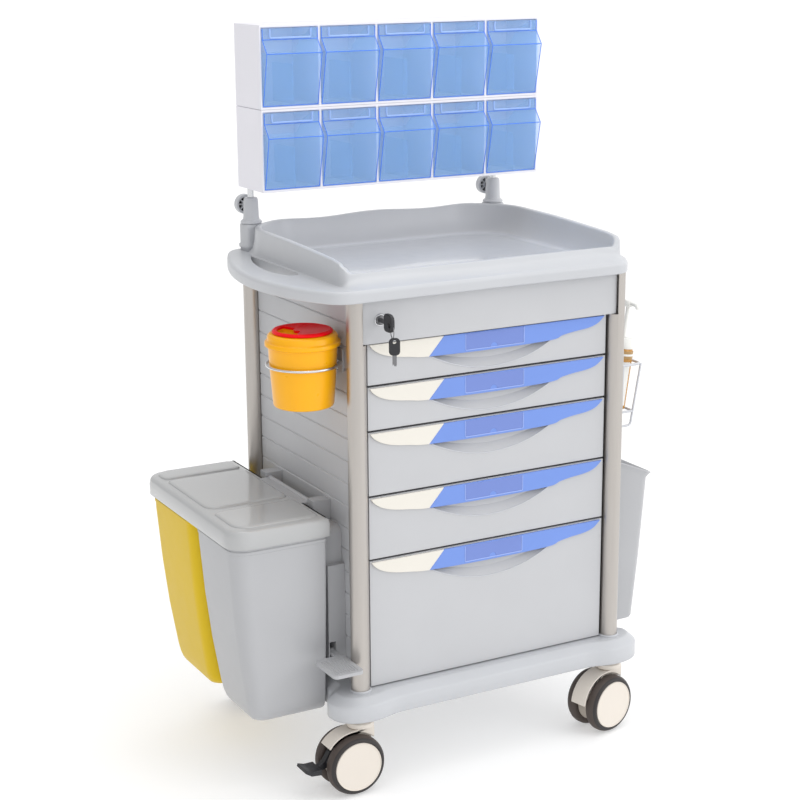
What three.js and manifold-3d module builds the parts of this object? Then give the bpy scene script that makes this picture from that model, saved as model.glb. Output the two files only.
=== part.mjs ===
// A hospital crash cart: five drawers between four aluminium posts, a moulded top with a tilt-bin
// rack above it, a double waste bin and a sharps container on the left, and a wire basket with a pump
// bottle and an open bin on the right.
// Millimetres. The cart is drawn with x = 0, y = 0 midway between its posts, +X to the viewer's right,
// the drawers facing -Y and the floor at z = 0. The last lines centre its box on the origin.
import * as THREE from "three";
import { mergeVertices } from "three/addons/utils/BufferGeometryUtils.js";
import Module from "manifold-3d";

const wasm = await Module();
wasm.setup();

// ---------------------------------------------------------------- driving dimensions
const GAP = 0.3; // between pieces that touch
const RUN = 1; // between pieces that move past each other
const WALL = 3; // moulded plastic walls

const POST_X = 266;
const POST_Y = 213;
const POST_RADIUS = 17;
const POST_BORE = 15;

const BASE_BOTTOM = 138;
const BASE_SHOULDER = 168;
const BASE_TOP = 182;
const RIM_BOTTOM = 887;
const RIM_TOP = 909;
const CREST_TOP = 921;
const TRAY_FLOOR = 904;
const GUARD_TOP = 960;
const GUARD_X = 288;
const GUARD_BACK = 228;

const PANEL_FACE = 262; // outer face of a side panel
const PANEL_THICK = 8;
const GROOVE_PITCH = 41;

const FRONT_Y = -213; // face of the drawer fronts
const FRONT_X = 245;
const FRONT_THICK = 14;
const DRAWER_TOPS = [809, 732, 652, 535, 419];
const DRAWER_GAP = 4;
const BOX_X = 228;
const BOX_BACK = 190;
const HANDLE_THICK = 4;
const SCOOP_DEPTH = 10;

const LOCK_X = -225;
const LOCK_Z = 850.5;
const LOCK_FACE = -223;

const ROD_RADIUS = 6;
const SUPPORT_X = 264;
const SLEEVE_BORE = 7;
const SLEEVE_TOP = 1008;
const KNOB_Z = 992;

const RACK_X = 291;
const RACK_FRONT = 95.6;
const RACK_BACK = 206.4;
const RACK_ROWS = [1031, 1179];
const ROW_HEIGHT = 147.6;
const BIN_PITCH = 116;
const BIN_WIDTH = 109.5;
const BIN_COUNT = 5;

const SWIVEL_X = 268;
const SWIVEL_Y = 213;
const WHEEL_RADIUS = 55;
const WHEEL_SIDES = 24;
const WHEEL_TRAIL = 22;
const WHEEL_INNER = 13; // half the gap between a caster's two wheels
const WHEEL_WIDTH = 24;
const HOOD_RADIUS = 60;
const HOOD_THICK = 2.8;
const HOOD_HALF = 20;
const CASTERS = {
  front_left: { x: -SWIVEL_X, y: -SWIVEL_Y, turn: 0, brake: true },
  front_right: { x: SWIVEL_X, y: -SWIVEL_Y, turn: 12, brake: false },
  back_left: { x: -SWIVEL_X, y: SWIVEL_Y, turn: 0, brake: false },
  back_right: { x: SWIVEL_X, y: SWIVEL_Y, turn: 0, brake: true },
};

const LID_HINGE_X = -288;
const LID_HINGE_Z = 495;
const LID_OUTER_X = -487;
const LID_INNER_X = -298;
const LID_FRONT = -172;
const LID_BACK = 246;
const LID_BOTTOM = 464;
const LID_TOP = 497;
const HINGE_BLOCKS = [[-96, -71], [106, 131]]; // the two blocks that hold the lid's pin, along Y
const BUCKET_TOP = 490;
const BUCKET_BOTTOM = 125;
const BUCKET_SEAM = 20;
const PEDAL_PIVOT_Y = -140;
const PEDAL_PIVOT_Z = 232;

const SHARPS_X = -330;
const SHARPS_Y = -138;
const SHARPS_BOTTOM = 697;
const SHARPS_CAP = 825;

const BASKET_X = 380;
const BASKET_BOTTOM = 592;
const BASKET_TOP = 688;
const BOTTLE_X = 338.5;
const BOTTLE_Y = -112;
const BOTTLE_RADIUS = 22;
const BOTTLE_LEAN = 8.5; // degrees, outwards at the top

const OPEN_BIN_NEAR = 303;
const OPEN_BIN_FAR = 412;
const OPEN_BIN_BOTTOM = 167;
const OPEN_BIN_TOP = 464; // at its outer edge; the rim climbs towards the cart
const OPEN_BIN_SLANT = 46;

// ---------------------------------------------------------------- materials
const MATERIALS = {
  panel_grey: [0xc8c9cc, 0.45, 0],
  rim_grey: [0xcdcfd4, 0.4, 0],
  cream: [0xf0ece1, 0.4, 0],
  handle_blue: [0x7da0eb, 0.35, 0],
  clear_blue: [0x6f9de6, 0.2, 0],
  case_white: [0xf2f2f5, 0.35, 0],
  post_aluminium: [0xcbc8c0, 0.35, 0.9],
  steel: [0xd5d6d8, 0.25, 1],
  black: [0x1c1c1e, 0.4, 0],
  tyre: [0x4b4644, 0.8, 0],
  bucket_yellow: [0xe4c82e, 0.4, 0],
  bucket_grey: [0xb9babe, 0.4, 0],
  sharps_yellow: [0xffc02a, 0.35, 0],
  sharps_red: [0xea2230, 0.35, 0],
  wire_white: [0xf4f4f4, 0.35, 0],
  amber: [0xc08a3a, 0.2, 0],
};
for (const name of Object.keys(MATERIALS)) {
  const [color, roughness, metalness] = MATERIALS[name];
  MATERIALS[name] = new THREE.MeshStandardMaterial({ color, roughness, metalness });
}

// ---------------------------------------------------------------- helpers
// A three.js geometry as a manifold-3d solid, for cutting and joining.
function solidOf(geometry) {
  const bare = geometry.clone();
  bare.deleteAttribute("normal");
  bare.deleteAttribute("uv");
  const merged = mergeVertices(bare, 1e-4);
  return new wasm.Manifold(
    new wasm.Mesh({
      numProp: 3,
      vertProperties: Float32Array.from(merged.attributes.position.array),
      triVerts: Uint32Array.from(merged.index.array),
    }),
  );
}

function geometryOf(solid) {
  const mesh = solid.getMesh();
  const geometry = new THREE.BufferGeometry();
  geometry.setAttribute("position", new THREE.BufferAttribute(mesh.vertProperties, 3));
  geometry.setIndex(new THREE.BufferAttribute(mesh.triVerts, 1));
  return geometry;
}

const join = (first, ...rest) =>
  geometryOf(rest.reduce((sum, part) => sum.add(solidOf(part)), solidOf(first)));

const cut = (first, ...tools) =>
  geometryOf(tools.reduce((left, tool) => left.subtract(solidOf(tool)), solidOf(first)));

const common = (a, b) => geometryOf(solidOf(a).intersect(solidOf(b)));

function box([x0, x1], [y0, y1], [z0, z1]) {
  return new THREE.BoxGeometry(x1 - x0, y1 - y0, z1 - z0).translate(
    (x0 + x1) / 2,
    (y0 + y1) / 2,
    (z0 + z1) / 2,
  );
}

// A cylinder along Z, from z0 to z1.
function rod(radius, [x, y], [z0, z1], sides = 16) {
  return new THREE.CylinderGeometry(radius, radius, z1 - z0, sides)
    .rotateX(Math.PI / 2)
    .translate(x, y, (z0 + z1) / 2);
}

// A cylinder along Y, from y0 to y1.
function rodAlongY(radius, [x, z], [y0, y1], sides = 16) {
  return new THREE.CylinderGeometry(radius, radius, y1 - y0, sides).translate(x, (y0 + y1) / 2, z);
}

function rodAlongX(radius, [y, z], [x0, x1], sides = 12) {
  return new THREE.CylinderGeometry(radius, radius, x1 - x0, sides)
    .rotateZ(Math.PI / 2)
    .translate((x0 + x1) / 2, y, z);
}

const outline = (points) => new THREE.Shape(points.map(([a, b]) => new THREE.Vector2(a, b)));

function roundedRect([x0, x1], [y0, y1], radius) {
  const shape = new THREE.Shape();
  shape.moveTo(x0 + radius, y0);
  shape.lineTo(x1 - radius, y0);
  shape.absarc(x1 - radius, y0 + radius, radius, -Math.PI / 2, 0);
  shape.lineTo(x1, y1 - radius);
  shape.absarc(x1 - radius, y1 - radius, radius, 0, Math.PI / 2);
  shape.lineTo(x0 + radius, y1);
  shape.absarc(x0 + radius, y1 - radius, radius, Math.PI / 2, Math.PI);
  shape.lineTo(x0, y0 + radius);
  shape.absarc(x0 + radius, y0 + radius, radius, Math.PI, 1.5 * Math.PI);
  return shape;
}

// A flat outline raised from z0 to z1.
function prism(shape, [z0, z1], curveSegments = 4) {
  return new THREE.ExtrudeGeometry(shape, {
    depth: z1 - z0,
    bevelEnabled: false,
    curveSegments,
  }).translate(0, 0, z0);
}

// An outline drawn as (y, z) and raised along X from x0 to x1.
function prismAlongX(shape, [x0, x1], curveSegments = 4) {
  return prism(shape, [x0, x1], curveSegments).applyMatrix4(
    new THREE.Matrix4().set(0, 0, 1, 0, 1, 0, 0, 0, 0, 1, 0, 0, 0, 0, 0, 1),
  );
}

// An outline drawn as (x, z) and raised along Y from y0 to y1.
function prismAlongY(shape, [y0, y1], curveSegments = 4) {
  return prism(shape, [-y1, -y0], curveSegments).rotateX(Math.PI / 2);
}

// An outline raised through several levels; each level has its height and how it shifts a point.
function loft(shape, levels, curveSegments = 4) {
  const geometry = new THREE.ExtrudeGeometry(shape, {
    depth: levels.length - 1,
    steps: levels.length - 1,
    bevelEnabled: false,
    curveSegments,
  });
  const position = geometry.attributes.position;
  for (let i = 0; i < position.count; i++) {
    const level = levels[Math.round(position.getZ(i))];
    const [x, y, lift = 0] = level.at(position.getX(i), position.getY(i));
    position.setXYZ(i, x, y, level.z + lift);
  }
  return geometry;
}

// A profile of (radius, z) points turned about the vertical line through (x, y).
function turned(profile, [x, y], sides = 24) {
  return new THREE.LatheGeometry(
    profile.map(([r, z]) => new THREE.Vector2(r, z)),
    sides,
  )
    .rotateX(Math.PI / 2)
    .translate(x, y, 0);
}

const cart = new THREE.Group();
function add(name, geometry, material) {
  const mesh = new THREE.Mesh(geometry, MATERIALS[material]);
  mesh.name = name;
  cart.add(mesh);
  return mesh;
}

// The full outline from its right half, a path that starts and ends on the middle line.
function bothSides(half, divisions) {
  const right = half.getPoints(divisions).map((p) => [p.x, p.y]);
  const left = right.slice(1, -1).map(([x, y]) => [-x, y]).reverse();
  return outline([...right, ...left]);
}

// ---------------------------------------------------------------- base and posts
function addBase() {
  const half = new THREE.Path();
  half.moveTo(0, -244);
  half.lineTo(190, -244);
  half.bezierCurveTo(225, -244, 232, -256, 262, -256);
  half.bezierCurveTo(300, -256, 325, -235, 325, -205);
  half.bezierCurveTo(325, -180, 300, -178, 300, -158);
  half.lineTo(300, 190);
  half.bezierCurveTo(300, 235, 285, 256, 250, 256);
  half.bezierCurveTo(225, 256, 220, 246, 190, 246);
  half.lineTo(0, 246);
  const inset = (amount) => (x, y) => [
    x - Math.sign(x) * Math.min(amount, Math.abs(x)),
    y - Math.sign(y) * Math.min(amount, Math.abs(y)),
  ];
  const levels = [
    { z: BASE_BOTTOM, at: inset(0) },
    { z: BASE_SHOULDER, at: inset(0) },
    { z: BASE_TOP, at: inset(16) },
  ];
  add("base", loft(bothSides(half, 5), levels), "rim_grey");
}

function addPosts() {
  const panelSeat = box([-261, 261], [-240, LOCK_FACE + 6], [809.5, RIM_BOTTOM]);
  for (const [side, x] of [["left", -POST_X], ["right", POST_X]]) {
    for (const [end, y] of [["front", -POST_Y], ["back", POST_Y]]) {
      const height = [BASE_TOP + GAP, RIM_BOTTOM - GAP];
      const tube = cut(
        rod(POST_RADIUS, [x, y], height, 20),
        rod(POST_BORE, [x, y], [0, 1000], 20),
        panelSeat,
      );
      add(`post_${end}_${side}`, tube, "post_aluminium");
    }
  }
}

// ---------------------------------------------------------------- panels
function addPanels() {
  const bottom = BASE_TOP + GAP;
  const top = RIM_BOTTOM - GAP;
  for (const [name, side] of [["left", -1], ["right", 1]]) {
    const face = [];
    for (let z = bottom + GROOVE_PITCH; z < top - 10; z += GROOVE_PITCH) {
      face.push([PANEL_FACE, z - 2], [PANEL_FACE - 2, z], [PANEL_FACE, z + 2]);
    }
    const section = outline([
      [PANEL_FACE - PANEL_THICK, bottom],
      [PANEL_FACE, bottom],
      ...face,
      [PANEL_FACE, top],
      [PANEL_FACE - PANEL_THICK, top],
    ]);
    const panel = prismAlongY(section, [-195.5, 195.5]);
    if (side < 0) panel.rotateZ(Math.PI);
    add(`side_panel_${name}`, panel, "panel_grey");
  }
  add("back_panel", box([-248, 248], [206, 214], [bottom, top]), "panel_grey");
}

function addLockPanel() {
  const posts = [-POST_X, POST_X].map((x) =>
    rod(POST_RADIUS + GAP, [x, -POST_Y], [800, 900], 20),
  );
  const back = cut(box([-252, 252], [LOCK_FACE + 5, -199], [811, RIM_BOTTOM - 1]), ...posts);
  const face = box([-260.5, 260.5], [LOCK_FACE, LOCK_FACE + 5.5], [810.5, RIM_BOTTOM - 1]);
  add("lock_panel", join(face, back), "panel_grey");
}

function addKey() {
  const plug = rodAlongY(8.5, [LOCK_X, LOCK_Z], [LOCK_FACE - 10, LOCK_FACE - GAP]);
  const blade = box([LOCK_X - 1.2, LOCK_X + 1.2], [-244, -230], [LOCK_Z - 4, LOCK_Z + 4]);
  const bow = new THREE.CylinderGeometry(13, 13, 5, 16)
    .rotateZ(Math.PI / 2)
    .scale(1, 1, 1.15)
    .translate(LOCK_X, -255, LOCK_Z);
  add("key", join(plug, blade, bow), "black");
}

// ---------------------------------------------------------------- drawers
// The lower edge of the grip strip and of the finger scoop under it, as depths below the drawer's top.
const STRIP_EDGE = [
  [-243, -1.5],
  [-236, -10],
  [-222, -19],
  [-200, -26],
  [-165, -31],
  [-125, -35],
  [4, -36.5],
  [122, -34.5],
  [149, -28],
  [174, -24],
  [205, -20.5],
  [225, -14],
  [240, -1.5],
];

function scoopShape(top) {
  const shape = new THREE.Shape();
  shape.moveTo(-120, top - 36);
  shape.quadraticCurveTo(-60, top - 66, 0, top - 67);
  shape.quadraticCurveTo(70, top - 66, 124, top - 35);
  return shape;
}

function addDrawers() {
  DRAWER_TOPS.forEach((top, i) => {
    const next = DRAWER_TOPS[i + 1];
    const bottom = (next ?? BASE_TOP - 1) + DRAWER_GAP;
    const boxTop = top - 14;
    const boxBottom = bottom + 8;
    const front = box([-FRONT_X, FRONT_X], [FRONT_Y, FRONT_Y + FRONT_THICK], [bottom, top]);
    const tray = box([-BOX_X, BOX_X], [FRONT_Y + 10, BOX_BACK], [boxBottom, boxTop]);
    const inside = box(
      [-BOX_X + WALL, BOX_X - WALL],
      [FRONT_Y + FRONT_THICK + WALL, BOX_BACK - WALL],
      [boxBottom + WALL, top + 1],
    );
    const scoop = prismAlongY(scoopShape(top), [FRONT_Y - 1, FRONT_Y + SCOOP_DEPTH], 5);
    add(`drawer_${i + 1}`, cut(join(front, tray), inside, scoop), "panel_grey");

    const strip = outline(STRIP_EDGE.map(([x, z]) => [x, top + z]));
    const stripBack = FRONT_Y - GAP;
    const handle = prismAlongY(strip, [stripBack - HANDLE_THICK, stripBack]);
    add(`drawer_handle_${i + 1}`, handle, "handle_blue");
  });
}

// ---------------------------------------------------------------- top tray
// The rim runs straight down its right side and bulges into a push handle on its left.
function rimShape() {
  const path = new THREE.Path();
  path.moveTo(0, -244);
  path.lineTo(246, -247);
  path.quadraticCurveTo(278, -248, 299, -190);
  path.lineTo(302, 216);
  path.quadraticCurveTo(302, 246, 268, 246);
  path.lineTo(-268, 246);
  path.quadraticCurveTo(-298, 246, -312, 218);
  path.bezierCurveTo(-345, 150, -377, 60, -377, -40);
  path.bezierCurveTo(-377, -120, -348, -200, -324, -228);
  path.quadraticCurveTo(-308, -248, -280, -247);
  return outline(path.getPoints(6).map((p) => [p.x, p.y]));
}

// The grab hole between the guard wall and the bulging rim.
function grabHole() {
  const path = new THREE.Path();
  path.moveTo(-294, 150);
  path.quadraticCurveTo(-322, 95, -330, 20);
  path.quadraticCurveTo(-333, -30, -318, -60);
  path.quadraticCurveTo(-300, -72, -294, -50);
  return outline(path.getPoints(4).map((p) => [p.x, p.y]));
}

function addTopTray() {
  const plate = prism(rimShape(), [RIM_BOTTOM, RIM_TOP]);
  const crest = prismAlongX(
    outline([
      [-238, RIM_TOP - 3],
      [-238, RIM_TOP],
      [-203, CREST_TOP],
      [-194, TRAY_FLOOR],
      [-194, RIM_TOP - 10],
      [-238, RIM_TOP - 10],
    ]),
    [-GUARD_X, GUARD_X],
  );
  const wallPlan = roundedRect([-GUARD_X, GUARD_X], [-280, GUARD_BACK], 40);
  const wallHole = roundedRect([-GUARD_X + 7, GUARD_X - 7], [-276, GUARD_BACK - 7], 34);
  wallPlan.holes.push(wallHole);
  const ring = prism(wallPlan, [TRAY_FLOOR - 4, GUARD_TOP + 5], 5);
  const sweep = prismAlongX(
    outline([
      [-217, TRAY_FLOOR - 8],
      [GUARD_BACK + 5, TRAY_FLOOR - 8],
      [GUARD_BACK + 5, GUARD_TOP],
      [60, GUARD_TOP - 1],
      [-52, GUARD_TOP - 5],
      [-107, GUARD_TOP - 8],
      [-160, GUARD_TOP - 10],
      [-184, GUARD_TOP - 14],
      [-197, GUARD_TOP - 24],
      [-209, CREST_TOP - 6],
    ]),
    [-GUARD_X - 5, GUARD_X + 5],
  );
  const wall = common(ring, sweep);
  const well = prism(
    roundedRect([-GUARD_X + 12, GUARD_X - 12], [-194, GUARD_BACK - 12], 30),
    [TRAY_FLOOR, GUARD_TOP],
    4,
  );
  const bosses = [-SUPPORT_X, SUPPORT_X].map((x) =>
    rod(20, [x, POST_Y], [RIM_BOTTOM + 2, GUARD_TOP], 16),
  );
  const bores = [-SUPPORT_X, SUPPORT_X].map((x) =>
    rod(SLEEVE_BORE, [x, POST_Y], [RIM_BOTTOM - 5, GUARD_TOP + 5], 16),
  );
  const hole = prism(grabHole(), [RIM_BOTTOM - 5, RIM_TOP + 5]);
  const body = join(cut(join(plate, crest), well), wall, ...bosses);
  add("top_tray", cut(body, ...bores, hole), "rim_grey");
}

// ---------------------------------------------------------------- tilt-bin rack
function addRackSupports() {
  for (const [side, x] of [["left", -SUPPORT_X], ["right", SUPPORT_X]]) {
    const bottom = GUARD_TOP + GAP;
    const profile = [
      [SLEEVE_BORE, bottom],
      [20, bottom],
      [20, bottom + 4],
      [15, bottom + 7],
      [13.5, SLEEVE_TOP - 3],
      [11.5, SLEEVE_TOP],
      [SLEEVE_BORE, SLEEVE_TOP],
      [SLEEVE_BORE, bottom],
    ];
    add(`rack_sleeve_${side}`, turned(profile, [x, POST_Y], 16), "rim_grey");
    const wheel = rodAlongY(18.5, [x, KNOB_Z], [236, 249], 20);
    const shank = rodAlongY(5, [x, KNOB_Z], [POST_Y + 15, 240], 10);
    add(`rack_knob_${side}`, join(wheel, shank), "rim_grey");
  }
}

function addRack() {
  const rods = [-SUPPORT_X, SUPPORT_X].map((x) =>
    rod(ROD_RADIUS, [x, POST_Y], [845, 1300], 12),
  );
  const rails = [1090, 1255].map((z) =>
    rodAlongX(5, [POST_Y, z], [-SUPPORT_X, SUPPORT_X], 8),
  );
  add("rack_frame", join(rods[0], rods[1], ...rails), "steel");

  RACK_ROWS.forEach((bottom, row) => {
    const name = row === 0 ? "lower" : "upper";
    const shell = box([-RACK_X, RACK_X], [RACK_FRONT, RACK_BACK], [bottom, bottom + ROW_HEIGHT]);
    const pockets = [];
    for (let i = 0; i < BIN_COUNT; i++) {
      const x = (i - 2) * BIN_PITCH;
      const half = BIN_WIDTH / 2 + RUN;
      pockets.push(
        box([x - half, x + half], [RACK_FRONT - 1, RACK_BACK - WALL], [bottom + 4, bottom + 143]),
      );
      add(`tilt_bin_${name}_${i + 1}`, tiltBin(x, bottom), "clear_blue");
    }
    add(`rack_case_${name}`, cut(shell, ...pockets), "case_white");
  });
}

// A tilt bin turns about its lower front edge, so its back stays within reach of that edge.
function tiltBin(x, bottom) {
  const side = [
    [96, 5],
    [192, 5],
    [192, 92],
    [160, 122],
    [122, 138],
    [93.5, 142],
    [93.5, 122],
    [75, 98],
  ];
  const cavity = [
    [98, 7],
    [190, 7],
    [190, 150],
    [95.5, 150],
    [95.5, 121],
    [77.5, 98],
  ];
  const at = (points) => outline(points.map(([y, z]) => [y, bottom + z]));
  const half = BIN_WIDTH / 2;
  return cut(
    prismAlongX(at(side), [x - half, x + half]),
    prismAlongX(at(cavity), [x - half + 2, x + half - 2]),
  );
}

// ---------------------------------------------------------------- casters
function addCaster(name, { x, y, turn, brake }) {
  const group = new THREE.Group();
  group.position.set(x, y, 0);
  group.rotation.z = THREE.MathUtils.degToRad(turn);
  cart.add(group);
  const place = (piece, geometry, material) => group.add(add(piece, geometry, material));

  const axle = [-WHEEL_TRAIL, WHEEL_RADIUS];
  const web = new THREE.Shape();
  web.moveTo(-46, 62);
  web.quadraticCurveTo(-50, 30, -22, 24);
  web.quadraticCurveTo(8, 26, 14, 60);
  web.lineTo(24, 112);
  web.lineTo(-24, 112);
  web.quadraticCurveTo(-42, 104, -46, 84);
  // The hood wraps the inner halves of both wheels; a brake leaves its back open for the pedal.
  const hoodEnd = THREE.MathUtils.degToRad(brake ? 143 : 174);
  const hood = new THREE.Shape();
  hood.absarc(...axle, HOOD_RADIUS, THREE.MathUtils.degToRad(40), hoodEnd);
  hood.absarc(...axle, HOOD_RADIUS - HOOD_THICK, hoodEnd, THREE.MathUtils.degToRad(40), true);
  const fork = join(
    prismAlongY(web, [-WHEEL_INNER + 2, WHEEL_INNER - 2]),
    prismAlongY(hood, [-HOOD_HALF, HOOD_HALF], 12),
    rod(25, [0, 0], [112, 121], 20),
    rod(11, [0, 0], [112, BASE_BOTTOM - GAP], 16),
  );
  place(`caster_fork_${name}`, cut(fork, rodAlongY(6.5, axle, [-20, 20], 16)), "cream");

  // The wheel's sides lie outside its round tread and one of them is flat on the floor.
  const corner = WHEEL_RADIUS / Math.cos(Math.PI / WHEEL_SIDES);
  const disc = [
    [0, 0],
    [30, 0],
    [38, 3],
    [47, 3],
    [corner, 6],
    [corner, 16],
    [48, WHEEL_WIDTH],
    [0, WHEEL_WIDTH],
  ];
  const wheel = (flip) =>
    new THREE.LatheGeometry(disc.map(([r, t]) => new THREE.Vector2(r, t)), WHEEL_SIDES)
      .rotateY(Math.PI / WHEEL_SIDES)
      .rotateX(flip ? Math.PI : 0)
      .translate(axle[0], 0, axle[1]);
  const pair = join(
    wheel(false).translate(0, WHEEL_INNER, 0),
    wheel(true).translate(0, -WHEEL_INNER, 0),
    rodAlongY(6, axle, [-WHEEL_INNER - 3, WHEEL_INNER + 3], 12),
  );
  place(`caster_wheels_${name}`, pair, "cream");

  if (brake) {
    const toe = [
      [-86, 58],
      [-104, 58],
      [-116, 62],
      [-118, 57],
      [-106, 49],
      [-86, 47],
    ];
    const lever = outline([[-50, 80], [-64, 82], [-74, 66], ...toe, [-70, 52], [-58, 66]]);
    const pedal = join(prismAlongY(lever, [-6, 6]), prismAlongY(outline(toe), [-19, 19]));
    place(`brake_pedal_${name}`, pedal, "black");
  }
}

// ---------------------------------------------------------------- double waste bin
function addWasteBin() {
  const lidPlan = (inset) =>
    roundedRect([LID_OUTER_X + inset, LID_INNER_X], [LID_FRONT + inset, LID_BACK - inset], 38 - inset);
  const under = box([-340, LID_INNER_X + 1], [LID_FRONT + 4, LID_BACK - 4], [400, LID_TOP - 4]);
  // The top stops short of the hinge blocks, so that its edge clears them as the lid lifts.
  const notches = HINGE_BLOCKS.map(([y0, y1]) =>
    box([LID_INNER_X - 5, LID_INNER_X + 1], [y0 - 3, y1 + 3], [LID_BOTTOM - 5, LID_TOP + 5]),
  );
  const shell = cut(
    prism(lidPlan(0), [LID_BOTTOM, LID_TOP], 5),
    prism(lidPlan(4), [LID_BOTTOM - 5, LID_TOP - 4], 5),
    under,
    ...notches,
  );
  const tongue = box([LID_INNER_X - 4, LID_HINGE_X], [-70, 105], [LID_TOP - 4, LID_TOP]);
  const hinge = rodAlongY(5, [LID_HINGE_X, LID_HINGE_Z], [-70, 105], 12);
  const pin = rodAlongY(2.5, [LID_HINGE_X, LID_HINGE_Z], [-78, 113], 10);
  add("waste_lid", join(shell, tongue, hinge, pin), "bucket_grey");

  const housing = prismAlongX(roundedRect([-138, 188], [354, LID_BOTTOM + 3], 14), [
    -302.4,
    -PANEL_FACE - GAP,
  ]);
  const blocks = HINGE_BLOCKS.map((y) =>
    box([LID_HINGE_X - 8, -PANEL_FACE - GAP], y, [LID_BOTTOM, 505]),
  );
  const strut = box([-296, -PANEL_FACE - GAP], [-150, -126], [222, 400]);
  const holes = rodAlongY(3, [LID_HINGE_X, LID_HINGE_Z], [-80, 115], 12);
  const pedalSlot = box([-294.5, -281.5], [-152, -124], [200, 256]);
  const bracket = cut(join(housing, ...blocks, strut), holes, pedalSlot);
  add("waste_bracket", bracket, "bucket_grey");

  const pivot = [PEDAL_PIVOT_Y, PEDAL_PIVOT_Z + 3];
  const plate = loft(roundedRect([-341, -283], [-263, -180], 9), [
    { z: 236, at: (x, y) => [x, y] },
    { z: 242, at: (x, y) => [x, y] },
  ]);
  const arm = box([-293.5, -282.5], [-200, PEDAL_PIVOT_Y], [PEDAL_PIVOT_Z, 238]);
  const knuckle = rodAlongX(6, pivot, [-293.5, -282.5]);
  add("waste_pedal", join(plate, arm, knuckle), "bucket_grey");

  for (const [name, y0, y1, material] of [
    ["grey", LID_FRONT + 6, BUCKET_SEAM - 1, "bucket_grey"],
    ["yellow", BUCKET_SEAM + 1, LID_BACK - 6, "bucket_yellow"],
  ]) {
    add(`waste_bucket_${name}`, bucket([y0, y1]), material);
  }
}

// A bucket whose inner face hangs straight and whose other faces draw in towards the floor.
function bucket([y0, y1]) {
  const inner = -304;
  const outer = LID_OUTER_X + 6;
  const middle = (y0 + y1) / 2;
  const drawn = (outerShift, endShift, wall) => (x, y) => {
    const outward = (inner - x) / (inner - outer);
    const along = (y - middle) / ((y1 - y0) / 2);
    return [x + outward * outerShift + (outward > 0.5 ? wall : -wall), y - along * (endShift + wall)];
  };
  const plan = roundedRect([outer, inner], [y0, y1], 30);
  const body = (wall, lift, top) =>
    loft(plan, [
      { z: BUCKET_BOTTOM + lift, at: drawn(50, 36, wall) },
      { z: 137, at: drawn(40, 22, wall) },
      { z: 190, at: drawn(24, 14, wall) },
      { z: 340, at: drawn(5, 5, wall) },
      { z: top, at: drawn(0, 0, wall) },
    ]);
  return cut(body(0, 0, BUCKET_TOP), body(WALL, WALL, BUCKET_TOP + 1));
}

// ---------------------------------------------------------------- sharps container
// A kidney-shaped hole on the side of the disc that faces away from the cart.
function kidney(z0, z1) {
  const shape = new THREE.Shape();
  shape.absarc(0, 0, 42, 0.72 * Math.PI, 1.28 * Math.PI);
  shape.absarc(0, 0, 18, 1.28 * Math.PI, 0.72 * Math.PI, true);
  return prism(shape, [z0, z1], 8).translate(SHARPS_X, SHARPS_Y, 0);
}

function addSharps() {
  const centre = [SHARPS_X, SHARPS_Y];
  const outside = [
    [0, SHARPS_BOTTOM],
    [50, SHARPS_BOTTOM],
    [52.5, SHARPS_BOTTOM + 4],
    [59.5, 802],
    [65, 804],
    [65, 811],
    [60.5, 812],
    [60.5, 821],
    [56, SHARPS_CAP],
    [0, SHARPS_CAP],
  ];
  const inside = [
    [0, SHARPS_BOTTOM + 3],
    [50, SHARPS_BOTTOM + 6],
    [57, 802],
    [57, SHARPS_CAP - 4],
    [0, SHARPS_CAP - 4],
  ];
  const container = cut(
    turned(outside, centre),
    turned(inside, centre),
    kidney(SHARPS_CAP - 8, SHARPS_CAP + 5),
  );
  add("sharps_container", container, "sharps_yellow");
  const disc = [
    [0, SHARPS_CAP + GAP],
    [52, SHARPS_CAP + GAP],
    [52, SHARPS_CAP + 4],
    [49, SHARPS_CAP + 6],
    [0, SHARPS_CAP + 6],
  ];
  const lid = cut(turned(disc, centre), kidney(SHARPS_CAP - 5, SHARPS_CAP + 10));
  add("sharps_lid", lid, "sharps_red");

  const ring = new THREE.TorusGeometry(63, 2.5, 8, 32).translate(SHARPS_X, SHARPS_Y, 770);
  const plate = box([-266, -PANEL_FACE - GAP], [SHARPS_Y - 26, SHARPS_Y + 26], [748, 794]);
  add("sharps_ring", join(ring, plate), "steel");
}

// ---------------------------------------------------------------- right side
function addBasket() {
  const inner = PANEL_FACE + GAP;
  const [front, back] = [-142, -50];
  const plan = roundedRect([inner, BASKET_X], [front, back], 16);
  const narrowing = (amount, wall) => (x, y) => {
    const out = (x - inner) / (BASKET_X - inner);
    const along = (2 * y - front - back) / (back - front);
    return [x - out * (amount + wall) + (1 - out) * wall, y - along * (amount / 6 + wall)];
  };
  const basket = (wall, lift, top) =>
    loft(plan, [
      { z: BASKET_BOTTOM + lift, at: narrowing(15, wall) },
      { z: top, at: narrowing(0, wall) },
    ]);
  const shell = cut(basket(0, 0, BASKET_TOP), basket(WALL, WALL, BASKET_TOP + 1));
  add("side_basket", shell, "wire_white");
}

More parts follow.
